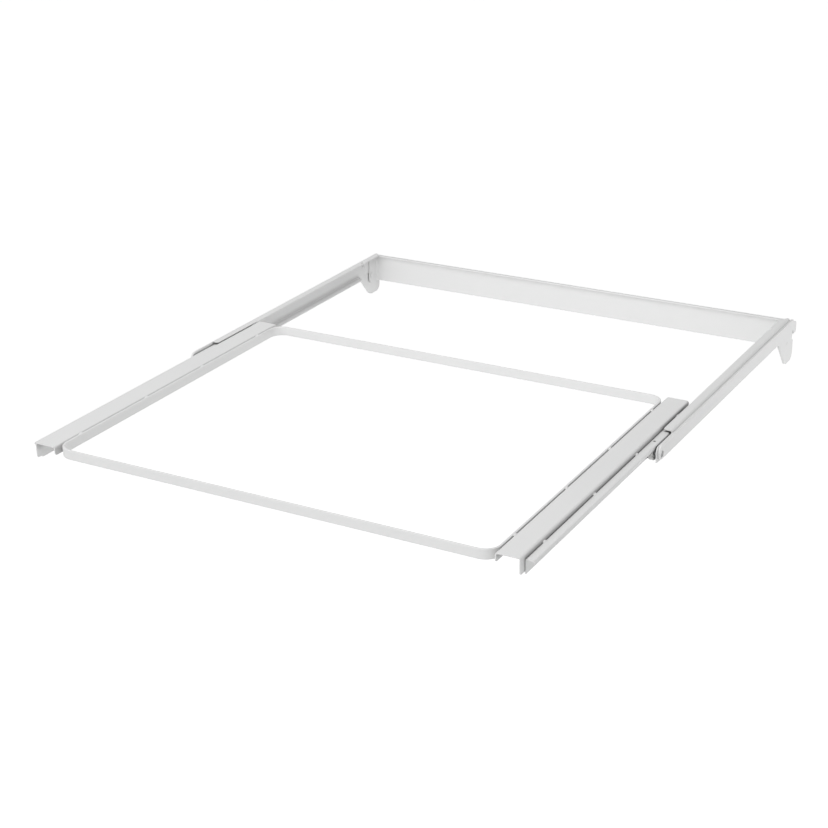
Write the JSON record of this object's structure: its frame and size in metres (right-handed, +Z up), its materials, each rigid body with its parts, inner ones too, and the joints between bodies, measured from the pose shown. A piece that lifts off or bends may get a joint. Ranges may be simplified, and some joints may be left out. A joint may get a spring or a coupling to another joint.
{
  "type": "pull-out frame",
  "caption": "Open frame with side ledges that runs out on rollers from channel rails; their plates hook into slotted wall uprights and a cross rail joins them at the back.",
  "frame": {"origin": "at the rear ends of the side rails, half way between them, level with their top", "axes": "+X to the right across the frame, +Y back into the wall, +Z up; the frame is pulled out towards -Y"},
  "size_m": [0.585, 0.7313, 0.0561],
  "materials": {
    "white_coating": "satin powder coat",
    "roller_plastic": "grey moulded plastic",
    "axle_steel": "zinc plated"
  },
  "bodies": {
    "wall_frame": {"back_cross_rail": "white_coating", "left_outer_rail": "white_coating", "left_bracket_plate": "white_coating", "left_front_axle": "axle_steel", "left_cross_rail_rivet": "white_coating", "right_outer_rail": "white_coating", "right_bracket_plate": "white_coating", "right_front_axle": "axle_steel", "right_cross_rail_rivet": "white_coating"},
    "pull_out_frame": {"ring_frame": "white_coating", "left_ledge": "white_coating", "left_slide_member": "white_coating", "left_ring_welds": "white_coating", "left_slide_welds": "white_coating", "left_rear_axle": "axle_steel", "right_ledge": "white_coating", "right_slide_member": "white_coating", "right_ring_welds": "white_coating", "right_slide_welds": "white_coating", "right_rear_axle": "axle_steel"},
    "left_front_roller": {"left_front_roller": "roller_plastic"},
    "left_rear_roller": {"left_rear_roller": "roller_plastic"},
    "right_front_roller": {"right_front_roller": "roller_plastic"},
    "right_rear_roller": {"right_rear_roller": "roller_plastic"}
  },
  "joints": [
    {"name": "pull_out_slide", "type": "slide", "parent": "wall_frame", "child": "pull_out_frame", "axis": [0, 1, 0], "range_m": [0, 0.26]},
    {"name": "left_front_roller_spin", "type": "hinge", "parent": "wall_frame", "child": "left_front_roller", "pos_m": [-0.2822, -0.415, -0.0129], "axis": [1, 0, 0], "range_deg": [-1855, 10]},
    {"name": "left_rear_roller_spin", "type": "hinge", "parent": "pull_out_frame", "child": "left_rear_roller", "pos_m": [-0.2834, -0.31381, -0.0113], "axis": [1, 0, 0], "range_deg": [-1567, 10]},
    {"name": "right_front_roller_spin", "type": "hinge", "parent": "wall_frame", "child": "right_front_roller", "pos_m": [0.2822, -0.415, -0.0129], "axis": [1, 0, 0], "range_deg": [-1855, 10]},
    {"name": "right_rear_roller_spin", "type": "hinge", "parent": "pull_out_frame", "child": "right_rear_roller", "pos_m": [0.2834, -0.31381, -0.0113], "axis": [1, 0, 0], "range_deg": [-1567, 10]}
  ],
  "couplings": [
    {"joint": "left_front_roller_spin", "follows": "pull_out_slide", "rad_per_m": -123.46},
    {"joint": "left_rear_roller_spin", "follows": "pull_out_slide", "rad_per_m": -104.17},
    {"joint": "right_front_roller_spin", "follows": "pull_out_slide", "rad_per_m": -123.46},
    {"joint": "right_rear_roller_spin", "follows": "pull_out_slide", "rad_per_m": -104.17}
  ]
}
